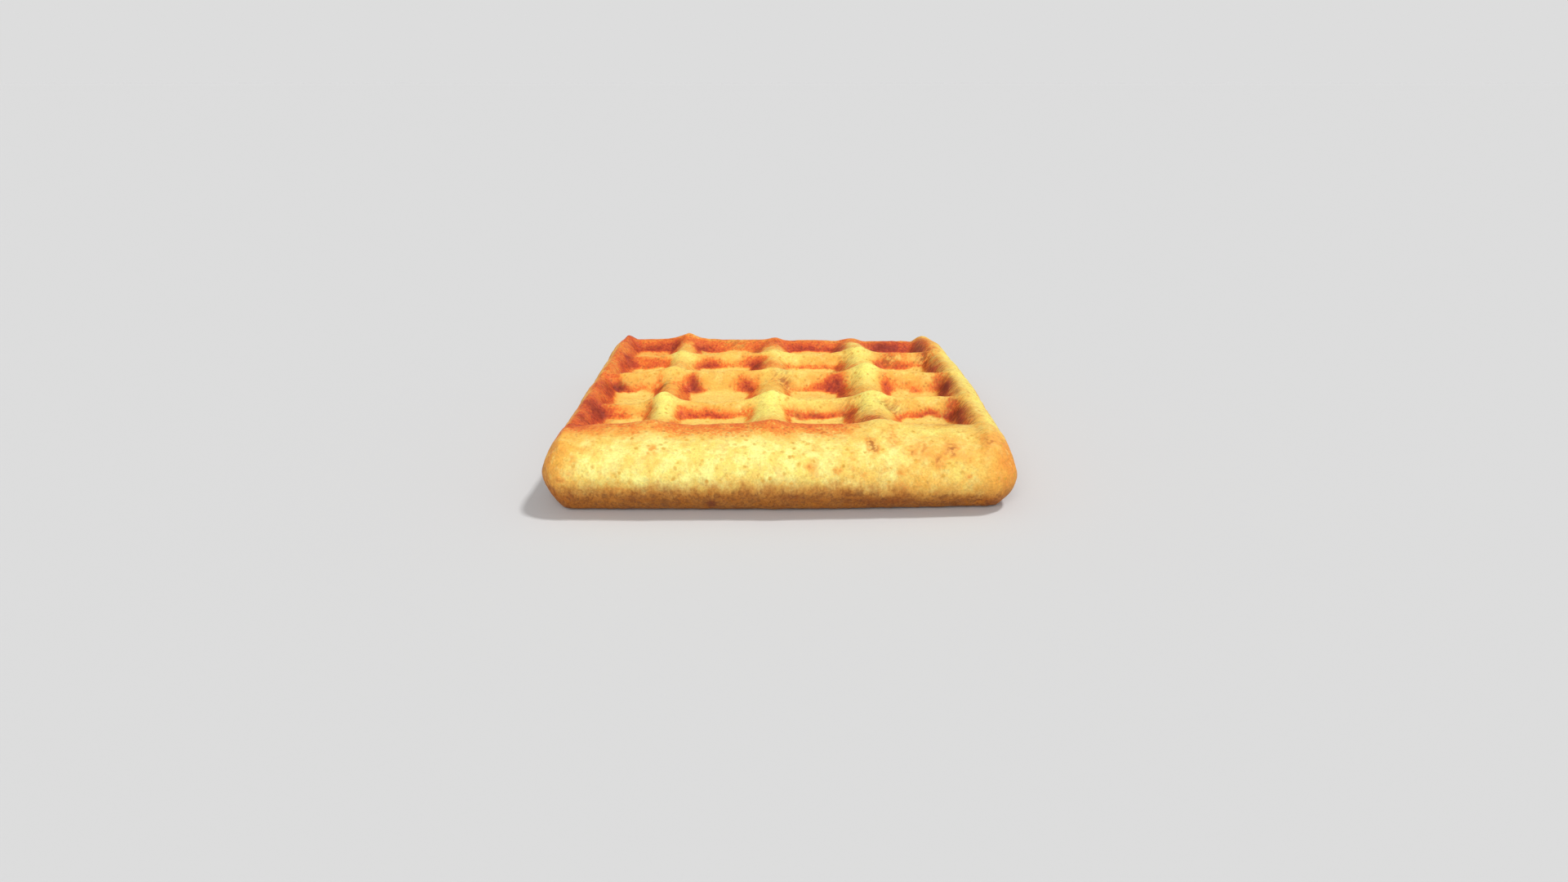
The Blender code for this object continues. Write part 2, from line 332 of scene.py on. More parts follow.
# General browning of the left, front and back rims. A pair of places is where a share begins and where it
# is full. A gap is where a rim is baked less: its middle, its reach and how much less
LEFT_RIM_TOAST = 0.48
LEFT_RIM_INWARD = (-48.5, -53.5)
LEFT_RIM_FORWARD = (-60.0, -51.0)
LEFT_RIM_OUTSIDE = (-57.5, -59.5)
LEFT_RIM_OUTSIDE_LOSS = 0.6
FRONT_RIM_TOAST = 0.52
FRONT_RIM_FORWARD = (-68.0, -52.5)
FRONT_RIM_INWARD = (-44.5, -48.5)
FRONT_RIM_RIGHT = (14.0, 28.0)
FRONT_RIM_GAP = (-37.0, 8.0, 0.12)
BACK_RIM_TOAST = 0.40
BACK_RIM_INWARD = (53.5, 58.5)
BACK_RIM_RIGHT = (48.0, 53.0)
BACK_RIM_GAP = (-34.0, 5.0, 0.15)

# Floors, wall feet and flanks, told apart by how high the ridges are there, as a share of their crest
FLOOR_RIDGE = (0.28, 0.02)
FOOT_BAND = ((0.02, 0.16), (0.74, 0.08))
ROW_FLANK_BAND = ((0.0, 0.35), (1.0, 0.70))
COLUMN_FLANK_BAND = ((0.0, 0.30), (0.80, 0.40))

# Unevenness of the baking: size and seed of its noise, and how far it bends the patches' outlines
BROAD_NOISE = (11.0, 5.0)
PATCHY_NOISE = (5.0, 6.0)
BEND_X_NOISE = (6.0, 3.0)
BEND_X = 1.3
BEND_Y_NOISE = (5.0, 4.0)
BEND_Y = 0.9
RIM_BEND = 1.5

# Baking that varies in clouds: its mean, and the shares of the broad and the patchy noise
BAND_CLOUDS = (0.15, 0.0, 0.30)
ROW_FLANK_CLOUDS = (0.07, 0.20, 0.0)
COLUMN_FLANK_CLOUDS = (0.28, 0.25, 0.0)
RIDGE_CLOUDS = (0.02, 0.14, 0.12)
UNDER_CLOUDS = (0.45, 0.30, 0.18)
AMBER_CLOUDS = (0.06, 0.30, 0.0)
INNER_AMBER_CLOUDS = (0.78, 0.22, 0.20)
FOOT_TOP_CLOUDS = (0.0, 0.7, 0.6)
UNDER_FOOT_CLOUDS = (0.95, 0.15, 0.0)
LEFT_WALL_CLOUDS = (1.0, 0.0, 0.4)

# The baking of the upper side begins on the shoulder, between these levels of the side
SHOULDER_LEVELS = (0.80, 1.02)
# The spots of the front lie before this place, and the clouds on the ridges fade in behind the front
FRONT_EDGE = -50.0
RIDGE_CLOUDS_FRONT = (-58.0, -52.0)
# What the pocket floors take off each kind of baking, and how pale the ones at the back still are
FLOOR_TOAST_LOSS = 0.50
FLOOR_CHAR_LOSS = 0.6
FLOOR_STREAK_LOSS = 0.7
FLOOR_BACK_SHARE = 0.65
# What the underside loses for each millimetre that it rises above the rest face
UNDER_TOAST_LOSS = 0.08
UNDER_FOOT_LOSS = 0.11

# Painted shade: flanks that face left, away from the key light, are made browner and more streaked, more so
# right of the middle: values at the left and right
FACING_LEFT = (0.10, 0.55)
GRID_LEFT = -50.0
LEFT_TO_RIGHT = (5.0, 15.0)
FLANK_SHADE_TOAST = (0.03, 0.20)
FLANK_SHADE_STREAK = (0.08, 0.32)

# The top of the right rim is pale
RIGHT_EDGE_PALE = 0.65
RIGHT_EDGE_OUTSIDE = (54.5, 57.5)
RIGHT_EDGE_BAND = ((-56.0, -46.0), (60.0, 40.0))

# The crumb turns amber to the right, at the corners, high on the left and at the back
AMBER_RIGHT = 0.48
AMBER_RIGHT_SPAN = (-2.0, 32.0)
AMBER_CORNER = 1.05
AMBER_CORNER_SPAN = (49.0, 62.0)
AMBER_HIGH_LEFT = 0.50
AMBER_HIGH_LEFT_SPAN = (-30.0, -46.0)
AMBER_HIGH_SPAN = (13.0, 17.0)
AMBER_BACK = 0.40
AMBER_BACK_SPAN = (0.0, 50.0)
AMBER_MOST = 1.5
FRONT_TOP_SPAN = (-55.0, -63.0)

# The brown foot, partly browning and partly painted shade of the lower side, which faces down: how high it
# reaches at the left and right, its rise in the middle, and how it fades in. The left wall, which faces
# away from the key light, gets a share of it all the way up, partly as painted shade
FOOT_TOP = (11.8, 10.2)
FOOT_TOP_SPAN = (10.0, 45.0)
FOOT_TOP_RISE = (4.0, 30.0, 0.8)
FOOT_FADE = 7.8
LEFT_WALL_FOOT_AND_SHADE = 0.50
LEFT_WALL_SPAN = (-57.5, -62.5)

# Camera: it stands in front of the waffle and looks down at it. Its place and nearest reach are in metres
CAMERA_PLACE = (0.0008, -0.3245, 0.10671)
CAMERA_PITCH = 18.73
CAMERA_LENS = 24.44
CAMERA_SENSOR = 36.0
CAMERA_NEAR = 0.01

# Light: azimuth, elevation, strength and softness. Azimuth 0 shines from the front, 90 from the right
KEY_SUN = (105.0, 62.0, 1.75, 8.0)
FILL_SUN = (-8.0, 32.0, 1.65, 40.0)
# Studio: greys of its walls and ceiling, and between which rises of the look one turns into the other
WALL_GREY = 0.723
WALL_END = 0.10
CEILING_GREY = 0.36
CEILING_START = 0.30
# Floor: its width and how far below the waffle it lies are in metres
FLOOR_GREY = 0.63
FLOOR_ROUGHNESS = 0.9
FLOOR_WIDTH = 80.0
FLOOR_GAP = 0.0002


def mix(low, high, share):
    return low + (high - low) * share


def eased(share):
    share = np.clip(share, 0.0, 1.0)
    return share * share * (3.0 - 2.0 * share)


def grows(value, start, end):
    """Share that grows smoothly from 0 at start to 1 at end; end may be the smaller one."""
    return eased((value - start) / (end - start))


def within(value, start, end):
    """Share that is full inside a band, grows in over start and fades out over end."""
    return grows(value, *start) * grows(value, *end)


def swells(value, middle, reach, height):
    """Soft bump of this height round the middle."""
    return height * np.exp(-(((value - middle) / reach) ** 2))


def depth_share(y):
    """0 at the front of the waffle and 1 at its back."""
    return (y + HALF_DEPTH) / (2.0 * HALF_DEPTH)


def width_share(x):
    """0 at the left of the waffle and 1 at its right."""
    return (x + HALF_WIDTH) / (2.0 * HALF_WIDTH)


def noise_at(points, size, seed):
    """Smooth noise between about -1 and 1, for points in millimetres."""
    shift = Vector([seed * step for step in SEED_SHIFT])
    return np.array([noise.noise(Vector(point) / size + shift) for point in points])


def ridge(offset, flanks):
    """Height share of one rounded ridge, 1 on its crest and 0 past its flanks."""
    reach = np.where(offset < 0.0, flanks[0], flanks[1])
    return 0.5 + 0.5 * np.cos(math.pi * np.clip(np.abs(offset) / reach, 0.0, 1.0))


def ridges(place, crests, flanks):
    """Height share of each ridge of one set; the outermost stay full outside the grid."""
    shares = [ridge(place - crest, reach) for crest, reach in zip(crests, flanks)]
    shares[0] = np.where(place < crests[0], 1.0, shares[0])
    shares[-1] = np.where(place > crests[-1], 1.0, shares[-1])
    return shares


def grid_height(x, y):
    """Height of the two crossing sets of ridges, without the raised crossings."""
    floor = mix(FLOOR_FRONT, FLOOR_BACK, depth_share(y))
    total = 0.0
    for (front, back), share in zip(COLUMN_HEIGHTS, ridges(x, COLUMN_CRESTS, COLUMN_FLANKS)):
        rise = mix(front, back, depth_share(y)) - floor
        total = total + (rise * share) ** BLEND_POWER
    for (left, right), share in zip(ROW_HEIGHTS, ridges(y, ROW_CRESTS, ROW_FLANKS)):
        rise = mix(left, right, width_share(x)) - floor
        total = total + (rise * share) ** BLEND_POWER
    return floor + total ** (1.0 / BLEND_POWER)


def crossings(x, y, amounts, radius_x, radius_y):
    """Sum of one soft bump at each crossing, each as high as its amount."""
    total = np.zeros_like(x)
    for row_crest, row_amounts in zip(ROW_CRESTS, amounts):
        for column_crest, amount in zip(COLUMN_CRESTS, row_amounts):
            away = ((x - column_crest) / radius_x) ** 2 + ((y - row_crest) / radius_y) ** 2
            total += amount * np.exp(-away)
    return total


def bump_rise(x, y):
    """Extra height of the bumps where the ridges cross and where they have swollen."""
    bumps = []
    for row_crest, heights in zip(ROW_CRESTS, CROSSING_HEIGHTS):
        level = grid_height(np.array(COLUMN_CRESTS), np.full(len(COLUMN_CRESTS), row_crest))
        bumps.append(np.array(heights) - level)
    rise = crossings(x, y, bumps, CROSSING_RADIUS, CROSSING_RADIUS)
    for spot_x, spot_y, extra in SWOLLEN_SPOTS:
        rise += extra * np.exp(-((x - spot_x) ** 2 + (y - spot_y) ** 2) / CROSSING_RADIUS ** 2)
    return rise


def rim_fall(x, y):
    """How far the surface has dropped outside the rim's crests."""
    edge_x = HALF_WIDTH - SHOULDER_INSET
    edge_y = HALF_DEPTH - SHOULDER_INSET
    left = np.maximum(COLUMN_CRESTS[0] - x, 0.0) / (edge_x + COLUMN_CRESTS[0])
    right = np.maximum(x - COLUMN_CRESTS[-1], 0.0) / (edge_x - COLUMN_CRESTS[-1])
    front = np.maximum(ROW_CRESTS[0] - y, 0.0) / (edge_y + ROW_CRESTS[0])
    back = np.maximum(y - ROW_CRESTS[-1], 0.0) / (edge_y - ROW_CRESTS[-1])
    row = np.max(ridges(y, ROW_CRESTS, ROW_FLANKS), axis=0)
    fall = (SIDE_FALL + ROW_END_FALL * row) * (left + right) ** SIDE_FALL_POWER
    fall = fall + FRONT_FALL * front ** END_FALL_POWER
    return fall + BACK_FALL * back ** END_FALL_POWER


def top_height(x, y):
    surface = grid_height(x, y) + bump_rise(x, y) - rim_fall(x, y)
    points = np.column_stack((x, y, np.zeros_like(x)))
    return surface + SWELL_HEIGHT * noise_at(points, *SWELL_NOISE)


def under_height(x, y):
    """Height of the underside: flat at the rim, with shallow pockets inside it."""
    edge_x = HALF_WIDTH - FOOT_INSET
    edge_y = HALF_DEPTH - FOOT_INSET
    from_edge = np.minimum(edge_x - np.abs(x), edge_y - np.abs(y))
    flanks = (UNDER_FLANK, UNDER_FLANK)
    column = np.max([ridge(x - crest, flanks) for crest in COLUMN_CRESTS], axis=0)
    row = np.max([ridge(y - crest, flanks) for crest in ROW_CRESTS], axis=0)
    pocket = (1.0 - column) * (1.0 - row)
    inside = eased((from_edge - UNDER_RIM) / UNDER_RIM)
    return inside * (UNDER_LIFT + (UNDER_DEPTH - UNDER_LIFT) * pocket)


def rounded(x, y, inset, radius):
    """Moves points of the rectangle at this inset so that the corners become arcs."""
    over_x = np.maximum(np.abs(x) - (HALF_WIDTH - inset - radius), 0.0)
    over_y = np.maximum(np.abs(y) - (HALF_DEPTH - inset - radius), 0.0)
    arc_x = over_x * np.sqrt(1.0 - 0.5 * (over_y / radius) ** 2)
    arc_y = over_y * np.sqrt(1.0 - 0.5 * (over_x / radius) ** 2)
    new_x = np.copysign(np.abs(x) - over_x + arc_x, x)
    return new_x, np.copysign(np.abs(y) - over_y + arc_y, y)


def plan_point(station_x, station_y, inset, radius_loss):
    """Plan position of lattice stations, from -1 to 1 each way, at this inset."""
    x = station_x * (HALF_WIDTH - inset)
    y = station_y * (HALF_DEPTH - inset)
    return rounded(x, y, inset, CORNER_RADIUS - radius_loss * inset)


def shoulder_point(station_x, station_y):
    return plan_point(station_x, station_y, SHOULDER_INSET, SHOULDER_RADIUS_LOSS)


def skewed(x, y):
    """The front right lies a little further back than the front left, and the right side tapers."""
    rightward = eased(x / HALF_WIDTH)
    frontward = 1.0 - eased((y + HALF_DEPTH) / HALF_DEPTH)
    backward = eased(y / HALF_DEPTH)
    return x - RIGHT_TAPER * rightward * backward, y + FRONT_SKEW * rightward * frontward


def side_points(station_x, station_y, level):
    """Points of the side wall: level runs from -1 at the foot to 1 at the shoulder."""
    upper = level > 0.0
    widest = mix(WIDEST_LEFT, WIDEST_RIGHT, eased(0.5 + 0.5 * station_x))
    above = SHOULDER_INSET * np.maximum(level, 0.0) ** SHOULDER_POWER
    below = FOOT_INSET * np.maximum(-level, 0.0) ** FOOT_POWER
    high = mix(widest, top_height(*shoulder_point(station_x, station_y)), level)
    height = np.where(upper, high, widest * (1.0 + level))
    radius_loss = np.where(upper, SHOULDER_RADIUS_LOSS, FOOT_RADIUS_LOSS)
    x, y = plan_point(station_x, station_y, np.where(upper, above, below), radius_loss)
    points = np.column_stack((x, y, height))
    push = SWELL_HEIGHT * noise_at(points, *SWELL_NOISE) * (1.0 - level * level)
    length = np.hypot(x, y)
    return x + push * x / length, y + push * y / length, height


def stations(crests, half, edge_steps):
    """Lattice stations from -1 to 1, one on every crest and closer together beside it."""
    edge = half - SHOULDER_INSET
    found = [mix(-edge, crests[0], step / edge_steps[0]) for step in range(edge_steps[0])]
    for start, end in zip(crests, crests[1:]):
        for step in range(POCKET_STEPS):
            share = step / POCKET_STEPS
            share -= CREST_CROWDING * math.sin(math.tau * share) / math.tau
            found.append(mix(start, end, share))
    found += [mix(crests[-1], edge, step / edge_steps[1]) for step in range(edge_steps[1] + 1)]
    return np.array(found) / edge


def lattice_block(steps):
    """A cube from -1 to 1 with its faces cut into this many steps along X, Y and Z."""
    mesh = bmesh.new()
    bmesh.ops.create_cube(mesh, size=2.0)
    for axis, count in enumerate(steps):
        along = []
        for edge in mesh.edges:
            span = edge.verts[1].co - edge.verts[0].co
            if abs(span[axis]) > 1.0:
                along.append(edge)
        bmesh.ops.subdivide_edges(mesh, edges=along, cuts=count - 1, use_grid_fill=True)
    return mesh


def patches(x, y, spots):
    """Union of soft oval patches, between 0 and 1."""
    bare = np.ones_like(x)
    for middle_x, middle_y, reach_x, reach_y, strength in spots:
        away = ((x - middle_x) / reach_x) ** 2 + ((y - middle_y) / reach_y) ** 2
        bare *= 1.0 - strength * np.exp(-away)
    return 1.0 - bare


def either(first, second):
    """Union of two shares between 0 and 1."""
    return 1.0 - (1.0 - first) * (1.0 - second)


def rim_browning(x, y):
    """General browning of the left, front and back rims of the upper side."""
    left = LEFT_RIM_TOAST * grows(x, *LEFT_RIM_INWARD) * grows(y, *LEFT_RIM_FORWARD)
    left = left * (1.0 - LEFT_RIM_OUTSIDE_LOSS * grows(x, *LEFT_RIM_OUTSIDE))
    front = FRONT_RIM_TOAST * (1.0 - grows(x, *FRONT_RIM_RIGHT)) - swells(x, *FRONT_RIM_GAP)
    front = front * grows(y, *FRONT_RIM_FORWARD) * grows(y, *FRONT_RIM_INWARD)
    back = BACK_RIM_TOAST * (1.0 - grows(x, *BACK_RIM_RIGHT)) - swells(x, *BACK_RIM_GAP)
    back = back * grows(y, *BACK_RIM_INWARD)
    return either(either(left, front), back)


class Baking:
    """Where each kind of baking shows, as one share for each point of the mesh; some shares also carry
    painted shade on flanks that face left and low on the sides.
    """

    def __init__(self, plan_x, plan_y, zone, level, points, normals):
        self.x = plan_x
        self.y = plan_y
        self.height = points[:, 2]
        self.on_top = zone == TOP
        self.on_under = zone == UNDER
        self.on_front = (plan_y < FRONT_EDGE) & ~self.on_under
        self.over_shoulder = np.where(self.on_top, 1.0, grows(level, *SHOULDER_LEVELS))
        self.broad = noise_at(points, *BROAD_NOISE)
        self.patchy = noise_at(points, *PATCHY_NOISE)
        self.bent_x = plan_x + BEND_X * noise_at(points, *BEND_X_NOISE)
        self.bent_y = plan_y + BEND_Y * noise_at(points, *BEND_Y_NOISE)
        self.columns = np.max(ridges(self.bent_x, COLUMN_CRESTS, COLUMN_FLANKS), axis=0)
        self.rows = np.max(ridges(self.bent_y, ROW_CRESTS, ROW_FLANKS), axis=0)
        self.floor = grows(np.hypot(self.columns, self.rows), *FLOOR_RIDGE)
        # Flanks that face left, away from the key light from the right, on which shade is painted
        self.shaded_left_flanks = grows(-normals[:, 0], *FACING_LEFT) * self.on_top * (plan_x > GRID_LEFT)
        self.ridge_pale = self.pale_ridges()

    def clouds(self, mean, broad, patchy):
        return mean + broad * self.broad + patchy * self.patchy

    def cloud_share(self, mean, broad, patchy):
        return np.clip(self.clouds(mean, broad, patchy), 0.0, 1.0)

    def bent_patches(self, spots):
        return patches(self.bent_x, self.bent_y, spots)

    def to_right(self, values):
        """The first value on the left of the grid, and the second on its right."""
        return mix(*values, grows(self.x, *LEFT_TO_RIGHT))

    def pale_ridges(self):
        crossing = crossings(self.bent_x, self.bent_y, CROSSING_PALE, *PALE_RADIUS)
        return either(np.clip(crossing, 0.0, 1.0), self.bent_patches(PALE_TONGUES))

    def wall_toast(self):
        """Browning at the foot of the pockets' walls, and on the flanks above."""
        height = np.hypot(self.columns, self.rows)
        band = within(height, *FOOT_BAND)
        toast = band * either(self.cloud_share(*BAND_CLOUDS), self.bent_patches(FOOT_TOAST))
        row_flank = within(self.rows, *ROW_FLANK_BAND) * (1.0 - self.columns)
        toast = either(toast, row_flank * self.cloud_share(*ROW_FLANK_CLOUDS))
        column_flank = within(self.columns, *COLUMN_FLANK_BAND) * (1.0 - self.rows)
        column_flank = column_flank * (1.0 - self.ridge_pale)
        return either(toast, column_flank * self.cloud_share(*COLUMN_FLANK_CLOUDS))

    def toast(self):
        rims = rim_browning(self.bent_x, self.bent_y + RIM_BEND * self.patchy)
        toast = either(rims, self.bent_patches(WALL_TOAST_AND_SHADE))
        cloudy = self.cloud_share(*RIDGE_CLOUDS) * grows(self.y, *RIDGE_CLOUDS_FRONT) * (1.0 - self.floor)
        # Painted shade: flanks that face left are browned more, as the key light does not reach them
        browned = either(cloudy, self.to_right(FLANK_SHADE_TOAST) * self.shaded_left_flanks)
        toast = either(toast, browned * (1.0 - self.ridge_pale))
        toast = either(toast * (1.0 - FLOOR_TOAST_LOSS * self.floor), self.wall_toast())
        under = np.clip(self.clouds(*UNDER_CLOUDS) - UNDER_TOAST_LOSS * self.height, 0.0, 1.0)
        return np.where(self.on_under, under, toast * self.over_shoulder)

    def char_and_shade(self):
        # Burnt spots, and on the right rim's inner flank partly painted shade
        on_grid = self.bent_patches(CHAR_AND_SHADE_SPOTS) * self.over_shoulder * (1.0 - FLOOR_CHAR_LOSS * self.floor)
        return either(on_grid, patches(self.x, self.height, FRONT_CHARS) * self.on_front)

    def streak_and_shade(self):
        # Streaks, and painted shade on flanks that face left
        on_flanks = self.to_right(FLANK_SHADE_STREAK) * self.shaded_left_flanks
        streak_and_shade = either(patches(self.x, self.y, STREAK_AND_SHADE_PATCHES), on_flanks)
        return streak_and_shade * self.on_top * (1.0 - FLOOR_STREAK_LOSS * self.floor)

    def pale(self):
        right_edge = RIGHT_EDGE_PALE * grows(self.x, *RIGHT_EDGE_OUTSIDE) * within(self.y, *RIGHT_EDGE_BAND)
        return either(self.ridge_pale, right_edge) * self.over_shoulder * (1.0 - self.floor)

    def pale_floor(self):
        return self.floor * self.on_top * mix(1.0, FLOOR_BACK_SHARE, depth_share(self.y))

    def amber(self):
        """Golden tone of the crumb, below 1 amber and above it orange."""
        high_left = grows(self.x, *AMBER_HIGH_LEFT_SPAN) * grows(self.height, *AMBER_HIGH_SPAN)
        amber = self.clouds(*AMBER_CLOUDS) + AMBER_RIGHT * grows(self.x, *AMBER_RIGHT_SPAN)
        amber = amber + AMBER_CORNER * grows(np.abs(self.x), *AMBER_CORNER_SPAN)
        amber = amber + AMBER_HIGH_LEFT * high_left + AMBER_BACK * grows(self.y, *AMBER_BACK_SPAN)
        on_top = mix(self.clouds(*INNER_AMBER_CLOUDS), amber, grows(self.y, *FRONT_TOP_SPAN))
        return np.clip(np.where(self.on_top, on_top, amber), 0.0, AMBER_MOST)

    def foot(self):
        """The brown foot of the sides, darker downwards partly as painted shade, and the browned underside.
        """
        top = mix(*FOOT_TOP, grows(self.x, *FOOT_TOP_SPAN)) + swells(self.x, *FOOT_TOP_RISE)
        top = top + self.clouds(*FOOT_TOP_CLOUDS)
        side = np.clip((top - self.height) / FOOT_FADE, 0.0, 1.0)
        # The left wall, which faces away from the key light, is darkened by this share too: partly painted
        # shade
        left_wall_foot_and_shade = LEFT_WALL_FOOT_AND_SHADE * grows(self.x, *LEFT_WALL_SPAN) * self.clouds(*LEFT_WALL_CLOUDS)
        under = self.clouds(*UNDER_FOOT_CLOUDS) - UNDER_FOOT_LOSS * self.height
        return np.where(self.on_under, under, either(side, left_wall_foot_and_shade)) * (1.0 - self.on_top)

    def masks(self):
        return {
            "toast": self.toast(),
            "char_and_shade": self.char_and_shade(),
            "streak_and_shade": self.streak_and_shade(),
            "pale": self.pale(),
            "floor": self.pale_floor(),
            "amber": self.amber(),
            "foot": self.foot(),
            "spots": patches(self.x, self.height, FRONT_SPOTS) * self.on_front,
        }


def pore_depths(points, likely):
    """Depth that small open pores give each point, scattered by how likely one is there."""
    generator = np.random.default_rng(PIT_SEED)
    tree = kdtree.KDTree(len(points))
    for index, point in enumerate(points):
        tree.insert(point, index)
    tree.balance()
    depth = np.zeros(len(points))
    chosen = generator.choice(len(points), size=PIT_COUNT, replace=False, p=likely / likely.sum())
    radii = generator.uniform(*PIT_RADIUS, size=PIT_COUNT)
    depths = generator.uniform(*PIT_DEPTH, size=PIT_COUNT)
    for index, radius, pit_depth in zip(chosen, radii, depths):
        for _, near, away in tree.find_range(points[index], radius):
            bowl = pit_depth * (1.0 - (away / radius) ** 2) ** PIT_ROUNDING
            depth[near] = max(depth[near], bowl)
    return depth


def vertex_values(mesh, name):
    """Three values of each vertex, as rows of an array."""
    values = np.empty(len(mesh.vertices) * 3)
    mesh.vertices.foreach_get(name, values)
    return values.reshape(-1, 3)


def new_object(name, data):
    made = bpy.data.objects.new(name, data)
    bpy.context.scene.collection.objects.link(made)
    return made


def lattice_mesh(stations_x, stations_y):
    """Mesh of the lattice as a cube, and each point's stations and level."""
    steps_x = len(stations_x) - 1
    steps_y = len(stations_y) - 1
    block = lattice_block((steps_x, steps_y, SIDE_STEPS))
    bmesh.ops.recalc_face_normals(block, faces=block.faces)
    mesh = bpy.data.meshes.new("waffle_crumb")
    block.to_mesh(mesh)
    block.free()
    cube = vertex_values(mesh, "co")
    index_x = np.rint((cube[:, 0] + 1.0) / 2.0 * steps_x).astype(int)
    index_y = np.rint((cube[:, 1] + 1.0) / 2.0 * steps_y).astype(int)
    return mesh, stations_x[index_x], stations_y[index_y], cube[:, 2]


def make_waffle():
    """The baked waffle: the base form, smoothed, then given its fine relief and its masks."""
    stations_x = stations(COLUMN_CRESTS, HALF_WIDTH, EDGE_STEPS_X)
    stations_y = stations(ROW_CRESTS, HALF_DEPTH, EDGE_STEPS_Y)
    mesh, station_x, station_y, level = lattice_mesh(stations_x, stations_y)
    zone = np.digitize(level, (LEVEL_TOLERANCE - 1.0, 1.0 - LEVEL_TOLERANCE))
    plan_x, plan_y, height = side_points(station_x, station_y, level)
    top = zone == TOP
    plan_x[top], plan_y[top] = shoulder_point(station_x[top], station_y[top])
    height[top] = top_height(plan_x[top], plan_y[top])
    under = zone == UNDER
    foot = plan_point(station_x[under], station_y[under], FOOT_INSET, FOOT_RADIUS_LOSS)
    plan_x[under], plan_y[under] = foot
    height[under] = under_height(plan_x[under], plan_y[under])
    placed_x, placed_y = skewed(plan_x, plan_y)
    points = np.column_stack((placed_x, placed_y, height))
    mesh.vertices.foreach_set("co", (points * MM).ravel())
    soften(mesh, plan_x, plan_y, zone)
    points, normals = add_relief(mesh, level, zone)
    baking = Baking(plan_x, plan_y, zone, level, points, normals)
    for name, values in baking.masks().items():
        layer = mesh.attributes.new(name, "FLOAT", "POINT")
        layer.data.foreach_set("value", values.astype(np.float32))
    mesh.shade_smooth()
    return new_object("waffle_crumb", mesh)


def soften(mesh, plan_x, plan_y, zone):
    """Rounds the bends that the base form leaves between the top, the sides and the foot."""
    inside_x = np.abs(plan_x) < HALF_WIDTH - SHOULDER_INSET - SMOOTH_REACH
    inside_y = np.abs(plan_y) < HALF_DEPTH - SHOULDER_INSET - SMOOTH_REACH
    outer = ~((zone == TOP) & inside_x & inside_y)
    axes = {"use_axis_x": True, "use_axis_y": True, "use_axis_z": True}
    work = bmesh.new()
    work.from_mesh(mesh)
    work.verts.ensure_lookup_table()
    beside = [work.verts[index] for index in np.flatnonzero(outer)]
    for chosen, passes in ((beside, SIDE_SMOOTHING), (work.verts[:], TOP_SMOOTHING)):
        for _ in range(passes):
            bmesh.ops.smooth_vert(work, verts=chosen, factor=SMOOTH_FACTOR, **axes)
    work.to_mesh(mesh)
    work.free()


def add_relief(mesh, level, zone):
    """Moves the surface in and out by its fine unevenness and pores; returns its points and normals."""
    points = vertex_values(mesh, "co") / MM
    normals = vertex_values(mesh, "normal")
    relief = np.zeros(len(points))
    for size, amount, seed in RELIEF_LAYERS:
        relief += amount * noise_at(points, size, seed)
    relief -= pore_depths(points, np.array(PIT_LIKELY)[zone])
    resting = (zone == UNDER) & (points[:, 2] < RESTING_HEIGHT)
    near_foot = np.where(zone == SIDE, eased((level + 1.0) / RELIEF_FADE), 1.0)
    relief = np.where(resting, 0.0, relief * near_foot)
    points = points + normals * relief[:, None]
    points[:, 2] = np.maximum(points[:, 2], 0.0)
    mesh.vertices.foreach_set("co", (points * MM).ravel())
    mesh.update()
    return points, normals


